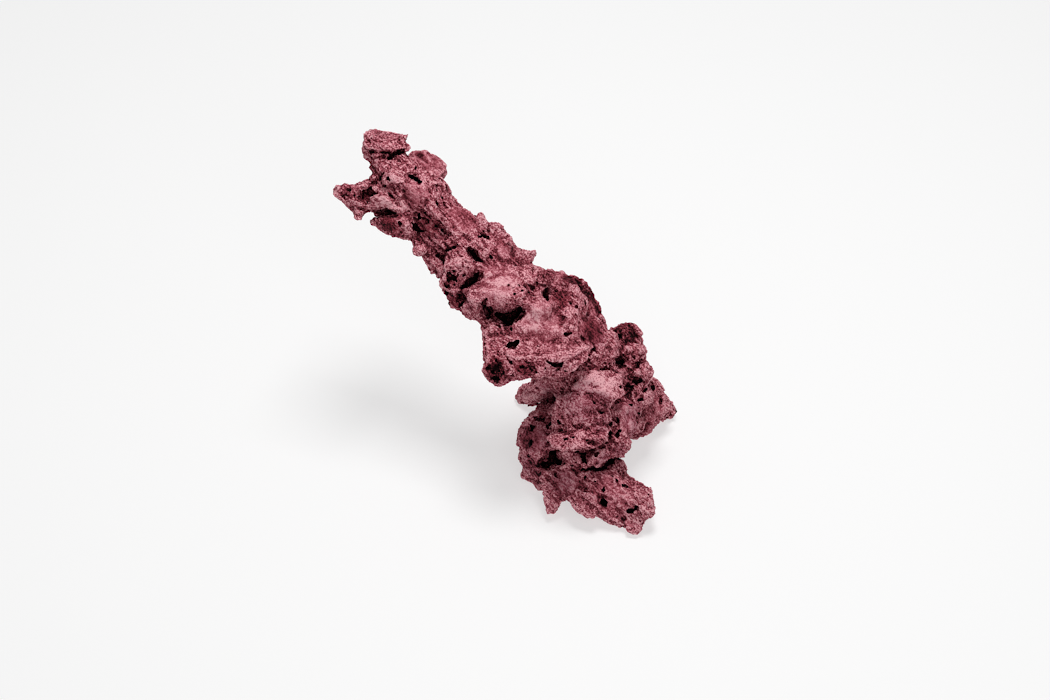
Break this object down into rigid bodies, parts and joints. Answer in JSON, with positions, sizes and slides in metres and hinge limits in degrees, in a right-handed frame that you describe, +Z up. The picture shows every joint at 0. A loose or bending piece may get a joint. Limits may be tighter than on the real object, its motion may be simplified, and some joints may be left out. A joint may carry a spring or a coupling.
{
  "type": "dry reef rock",
  "caption": "Leaning branch of dry reef rock with ledges, holes and caves, standing on feet of its own: decor or a base for corals in a marine tank.",
  "frame": {"origin": "middle of the bounding box in plan, on the floor the rock stands on", "axes": "+Z up; +X to the right as seen in the picture, along the arm's lean from its free end to the feet; +Y away from the viewer"},
  "size_m": [0.226, 0.1758, 0.2065],
  "materials": {
    "stone": "dull, gritty, porous stone with dusty pink raised parts and dark maroon hollows"
  },
  "bodies": {
    "root": {"reef_rock": "stone"}
  },
  "joints": []
}
